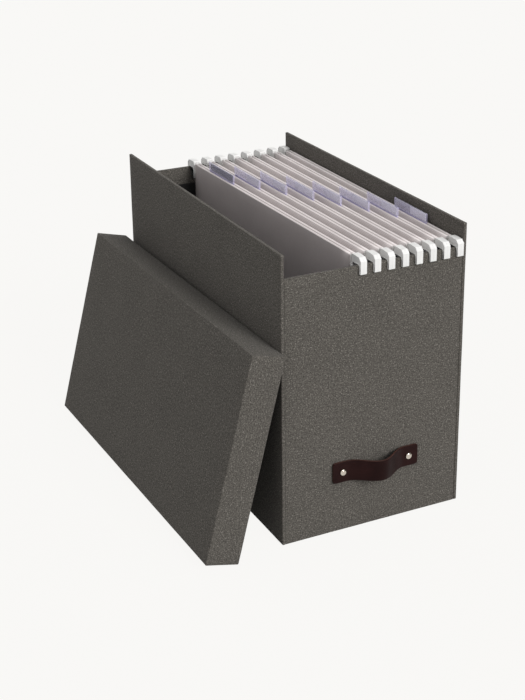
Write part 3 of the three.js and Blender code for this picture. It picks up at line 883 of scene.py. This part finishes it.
class FILEBOX_OT_rails(bpy.types.Operator):
    """Moulds the white rails with a hook at each end"""
    bl_idname = "filebox.rails"
    bl_label = "Hooked Rails"

    def execute(self, context):
        settings = context.scene.filebox_folders
        plastic = finish("plastic", plastic_finish, settings)
        for index in range(1, FOLDERS + 1):
            for side, sign in (("left", -1), ("right", 1)):
                self.rail(settings, plastic, index, side, sign)
        return {"FINISHED"}

    def rail(self, settings, plastic, index, side, sign):
        node = f"folder_{index}_rail_{side}"
        low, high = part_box(node)
        card_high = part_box(f"folder_{index}_sleeve")[1]
        outer_x = low.x if sign < 0 else high.x
        inner_x = folder_centre(index) + sign * RAIL_PARTING
        bm = bmesh.new()
        for end in (-1, 1):
            self.hook(bm, settings, end, (outer_x, inner_x), (low.z, high.y), card_high.y)

        strip_x = outer_x - sign * settings.rail_width / 2
        half = settings.rail_width / 2 - settings.card - STRIP_PLAY
        top = card_high.z - settings.rail_width / 2 + settings.card
        foot = top - STRIP_HEIGHT
        self.strip(bm, strip_x, half, card_high.y - STRIP_SHORT, foot, top)
        self.strip(bm, strip_x, half - STRIP_STEP, card_high.y + STRIP_REACH, foot + STRIP_STEP,
                   top - settings.neck_drop)
        bmesh.ops.recalc_face_normals(bm, faces=bm.faces)
        bm.transform(fan_turn(settings, index))
        finish_piece(f"{node}_plastic", bm, [plastic], [node], 35)

    def strip(self, bm, x, half, reach, foot, top):
        """A bar of the rail: the full one inside the hem, and the low one that crosses the necks."""
        made = block(bm, Vector((x - half, -reach, foot)), Vector((x + half, reach, top)))
        edges = {edge for vert in made for edge in vert.link_edges}
        round_edges(bm, list(edges), STRIP_ROUND, 2)

    def outline(self, bm, settings, end, x, prong_tip, leg_outer, card_end):
        """Draws the hook from its side: prong, arm over the wall and outer leg."""
        wall_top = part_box("end_wall_back")[1].z
        root = card_end - CARD_TRIM + settings.neck
        prong = card_end + PRONG_REACH
        leg_inner = leg_outer - settings.hook_leg
        leg_tip = wall_top - HOOK_LEG_REACH
        arm_low = wall_top + HOOK_GAP
        arm_top = arm_low + settings.hook_arm
        fillet, soft, chamfer = HOOK_FILLET, HOOK_ROUND, settings.hook_chamfer
        turn = 90 * end

        def at(y, z):
            return Vector((x, end * y, z))

        wire = Wire(bm, at(root, arm_top - soft), X_AXIS)
        wire.line(at(root, prong_tip + soft))
        wire.arc(at(root + soft, prong_tip + soft), turn, 4)
        wire.arc(at(prong - soft, prong_tip + soft), turn, 4)
        wire.line(at(prong, arm_low - fillet))
        wire.arc(at(prong + fillet, arm_low - fillet), -turn, 5)
        wire.line(at(leg_inner - fillet, arm_low))
        wire.arc(at(leg_inner - fillet, arm_low - fillet), -turn, 5)
        wire.line(at(leg_inner, leg_tip))
        wire.line(at(leg_outer - soft, leg_tip))
        wire.arc(at(leg_outer - soft, leg_tip + soft), turn, 4)
        wire.line(at(leg_outer, arm_top - chamfer))
        wire.line(at(leg_outer - chamfer, arm_top))
        wire.line(at(root + CROWN_REACH, arm_top + CROWN_RISE))
        wire.line(at(root + ROOT_REACH, arm_top + ROOT_RISE))
        wire.close()

    def hook(self, bm, settings, end, sides, limits, card_end):
        """Adds one hook, with a raised rim round its outer side."""
        outer_x, inner_x = sides
        prong_tip, leg_outer = limits
        hook = bmesh.new()
        self.outline(hook, settings, end, min(sides), prong_tip, leg_outer, card_end)
        side = bmesh.ops.contextual_create(hook, geom=hook.edges[:])
        solid = bmesh.ops.extrude_face_region(hook, geom=side["faces"])
        push_out(hook, solid, X_AXIS * abs(outer_x - inner_x))
        face_out(hook)
        flat = [face for face in hook.faces if abs(face.normal.x) > 0.9]
        shown = [face for face in flat if abs(face.calc_center_median().x - outer_x) < 0.01 * MM]
        rim = {edge for face in shown for edge in face.edges}
        bmesh.ops.inset_region(hook, faces=shown, thickness=settings.hook_rim, depth=0.0,
                               use_even_offset=True)
        bmesh.ops.inset_region(hook, faces=shown, thickness=RIM_SLOPE, depth=-RIM_HEIGHT,
                               use_even_offset=True)
        round_edges(hook, list(rim), RIM_ROUND, 2)
        scratch = bpy.data.meshes.new("hook outline")
        hook.to_mesh(scratch)
        hook.free()
        bm.from_mesh(scratch)
        bpy.data.meshes.remove(scratch)


class FILEBOX_OT_tabs(bpy.types.Operator):
    """Folds the clear index tabs, which stand in the slots between the hems, and cuts their card inserts"""
    bl_idname = "filebox.tabs"
    bl_label = "Index Tabs"

    def execute(self, context):
        settings = context.scene.filebox_folders
        draw = random.Random(settings.seed + 1)
        for index in range(1, FOLDERS + 1):
            low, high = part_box(f"folder_{index}_tab")
            half = (high.y - low.y) / 2
            middle = Vector((folder_centre(index), settings.tab_first - (index - 1) * settings.tab_step,
                             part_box(f"folder_{index}_sleeve")[1].z))
            askew = Matrix.Rotation(-draw.uniform(0.4, 1.0) * settings.tab_turn, 4, "Z")
            place = fan_turn(settings, index) @ Matrix.Translation(middle) @ askew
            self.tab(settings, index, half, place)
            self.insert(settings, index, half, place, draw)
        return {"FINISHED"}

    def tab(self, settings, index, half, place):
        wall = settings.tab_wall
        radius = (settings.tab_depth - wall) / 2
        floor = settings.tab_seat + wall / 2
        shoulder = settings.tab_rise - wall / 2 - radius
        foot = -settings.tab_tongue

        def at(x, z):
            return Vector((x, -half, z))

        bm = bmesh.new()
        wire = Wire(bm, at(0, foot), -Y_AXIS)
        wire.line(at(0, floor))
        wire.line(at(-radius, floor))
        wire.line(at(-radius, shoulder))
        wire.arc(at(0, shoulder), -180, 8)
        wire.line(at(radius, floor))
        wire.line(at(wall * 0.7, floor))
        sheet = bmesh.ops.extrude_edge_only(bm, edges=bm.edges[:])
        push_out(bm, sheet, Y_AXIS * 2 * half)
        corners = [vert for vert in bm.verts if abs(vert.co.z - foot) < 0.01 * MM]
        bmesh.ops.bevel(bm, geom=corners, offset=TAB_CORNER, offset_type="OFFSET", segments=4,
                        profile=0.5, affect="VERTICES", material=-1)
        bmesh.ops.recalc_face_normals(bm, faces=bm.faces)
        for face in bm.faces:
            face.material_index = 1 if face.calc_center_median().z < floor else 0
        bm.transform(place)
        clear = finish("clear", tab_finish, "clear lilac plastic", settings.tint, settings.tab_cover)
        edge = finish("edge", tab_finish, "lilac plastic edge", settings.tint_edge, settings.edge_cover)
        piece = finish_piece(f"folder_{index}_tab_clear", bm, [clear, edge],
                             [f"folder_{index}_tab"], 50)
        thicken = piece.modifiers.new("plastic thickness", "SOLIDIFY")
        thicken.thickness = wall
        thicken.offset = 0.0
        thicken.material_offset_rim = 1
        soften = piece.modifiers.new("soft edges", "BEVEL")
        soften.width = TAB_ROUND
        soften.segments = 2
        soften.limit_method = "ANGLE"
        soften.angle_limit = math.radians(50)

    def insert(self, settings, index, half, place, draw):
        low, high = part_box(f"folder_{index}_label")
        reach = min(half - INSERT_MARGIN, (high.y - low.y) / 2)
        thick = settings.insert
        bottom = settings.tab_seat + settings.tab_wall + INSERT_PLAY
        top = settings.tab_rise - 2 * settings.tab_wall
        bm = bmesh.new()
        # The first insert nearly fills its tab, and the others leave the far part clear.
        far = reach * (0.95 if index == 1 else draw.uniform(0.0, 0.35))
        block(bm, Vector((-thick / 2, -reach, bottom)), Vector((thick / 2, far, top)))
        round_edges(bm, bm.edges[:], INSERT_ROUND, 2)
        bm.transform(place)
        if index == 1:
            card = finish("first label", label_finish, "dark insert card", settings.first_label)
        else:
            card = finish("label", label_finish, "insert card", settings.label)
        finish_piece(f"folder_{index}_insert", bm, [card], [f"folder_{index}_label"])


# Stage

def bearing(azimuth, elevation):
    """The direction of a bearing from straight in front and a height above level."""
    level = Vector((math.sin(azimuth), -math.cos(azimuth), 0)) * math.cos(elevation)
    return level + Z_AXIS * math.sin(elevation)


class FILEBOX_OT_stage(bpy.types.Operator):
    """Sets up the floor, the backdrop, the key light, the dark flag and the camera"""
    bl_idname = "filebox.stage"
    bl_label = "Floor, Light and Camera"

    def execute(self, context):
        settings = context.scene.filebox_stage
        context.scene.view_settings.view_transform = "Standard"
        self.floor(settings)
        self.world(context, settings)
        self.light(settings)
        self.flag(settings)
        self.camera(context, settings)
        return {"FINISHED"}

    def seen(self, tree):
        """1 for a ray that shows the backdrop: from the camera, a reflection or through clear plastic."""
        path = tree.nodes.new("ShaderNodeLightPath")
        share = path.outputs["Is Camera Ray"]
        for kind in ("Is Glossy Ray", "Is Transmission Ray"):
            both = tree.nodes.new("ShaderNodeMath")
            both.operation = "MAXIMUM"
            tree.links.new(share, both.inputs[0])
            tree.links.new(path.outputs[kind], both.inputs[1])
            share = both.outputs[0]
        return share

    def blend(self, tree, share, first, second, output):
        """Shows the second shader for a share of the rays and the first for the rest."""
        both = tree.nodes.new("ShaderNodeMixShader")
        for socket, value in zip(both.inputs, (share, first.outputs[0], second.outputs[0])):
            tree.links.new(value, socket)
        tree.links.new(both.outputs[0], tree.nodes[output].inputs["Surface"])

    def floor(self, settings):
        bm = bmesh.new()
        bmesh.ops.create_grid(bm, x_segments=1, y_segments=1, size=FLOOR_SIZE)
        bmesh.ops.translate(bm, vec=-Z_AXIS * FLOOR_DROP, verts=bm.verts)
        material = bpy.data.materials.new("pale floor")
        material.use_nodes = True
        tree = material.node_tree
        matt = tree.nodes["Principled BSDF"]
        matt.inputs["Base Color"].default_value = (*scaled(settings.backdrop, settings.bounce), 1)
        matt.inputs["Roughness"].default_value = 0.9
        matt.inputs["Specular IOR Level"].default_value = 0.0
        glow = tree.nodes.new("ShaderNodeEmission")
        glow.inputs["Color"].default_value = (*scaled(settings.backdrop, settings.glow_gain), 1)
        share = tree.nodes.new("ShaderNodeMath")
        share.operation = "MULTIPLY"
        share.inputs[1].default_value = settings.glow
        tree.links.new(self.seen(tree), share.inputs[0])
        self.blend(tree, share.outputs[0], matt, glow, "Material Output")
        floor = add_object("floor", bm, [material])

    def world(self, context, settings):
        world = bpy.data.worlds.new("studio")
        context.scene.world = world
        world.use_nodes = True
        tree = world.node_tree
        light = tree.nodes["Background"]
        light.inputs["Color"].default_value = (1, 1, 1, 1)
        light.inputs["Strength"].default_value = settings.sky
        backdrop = tree.nodes.new("ShaderNodeBackground")
        backdrop.inputs["Color"].default_value = (*settings.backdrop, 1)
        self.blend(tree, self.seen(tree), light, backdrop, "World Output")

    def light(self, settings):
        data = bpy.data.lights.new("key light", "SUN")
        data.energy = settings.key
        data.angle = settings.key_spread
        key = bpy.data.objects.new("key light", data)
        towards = bearing(settings.key_azimuth, settings.key_elevation)
        key.rotation_euler = towards.to_track_quat("Z", "Y").to_euler()
        bpy.context.scene.collection.objects.link(key)

    def flag(self, settings):
        """A dark screen to the right of the camera, which shows only in reflections."""
        bm = bmesh.new()
        bmesh.ops.create_grid(bm, x_segments=1, y_segments=1, size=settings.flag_size / 2)
        towards = Vector(settings.flag_place).normalized()
        bm.transform(towards.to_track_quat("Z", "Y").to_matrix().to_4x4())
        bmesh.ops.translate(bm, vec=settings.flag_place, verts=bm.verts)
        cloth = Recipe("dark flag cloth", (0.01, 0.01, 0.01), roughness=0.9, specular=0.0)
        flag = add_object("dark_flag", bm, [cloth.material])
        flag.visible_camera = False
        flag.visible_diffuse = False
        flag.visible_transmission = False
        flag.visible_shadow = False

    def camera(self, context, settings):
        back = bearing(settings.azimuth, settings.elevation)
        level = Z_AXIS.cross(back).normalized()
        upright = back.cross(level)
        cosine, sine = math.cos(settings.roll), math.sin(settings.roll)
        right = cosine * level + sine * upright
        up = cosine * upright - sine * level
        data = bpy.data.cameras.new("camera")
        data.lens = settings.lens
        data.sensor_width = 36.0
        data.shift_y = settings.shift
        camera = bpy.data.objects.new("camera", data)
        context.scene.collection.objects.link(camera)
        turn = Matrix((right, up, back)).transposed().to_4x4()
        camera.matrix_world = Matrix.Translation(settings.place) @ turn
        context.scene.camera = camera


STEPS = (FILEBOX_OT_stage, FILEBOX_OT_boards, FILEBOX_OT_lid, FILEBOX_OT_linings, FILEBOX_OT_pull,
         FILEBOX_OT_rivets, FILEBOX_OT_sleeves, FILEBOX_OT_rails, FILEBOX_OT_tabs)
GROUPS = {
    "filebox_boards": BoardSettings,
    "filebox_pull": PullSettings,
    "filebox_folders": FolderSettings,
    "filebox_stage": StageSettings,
}


class FILEBOX_PT_panel(bpy.types.Panel):
    """Lists the box's settings and the steps that model it"""
    bl_idname = "FILEBOX_PT_panel"
    bl_label = "Hanging File Box"
    bl_space_type = "VIEW_3D"
    bl_region_type = "UI"
    bl_category = "File Box"

    def draw(self, context):
        for step in STEPS:
            self.layout.operator(step.bl_idname)
        for key in GROUPS:
            settings = getattr(context.scene, key)
            part = self.layout.box()
            for name in settings.__annotations__:
                part.prop(settings, name)


def register():
    for kind in (*GROUPS.values(), *STEPS, FILEBOX_PT_panel):
        bpy.utils.register_class(kind)
    for key, kind in GROUPS.items():
        setattr(bpy.types.Scene, key, PointerProperty(type=kind))


def unregister():
    for key in GROUPS:
        delattr(bpy.types.Scene, key)
    for kind in reversed((*GROUPS.values(), *STEPS, FILEBOX_PT_panel)):
        bpy.utils.unregister_class(kind)


def main():
    register()
    for step in STEPS:
        group, name = step.bl_idname.split(".")
        getattr(getattr(bpy.ops, group), name)()


if __name__ == "__main__":
    main()
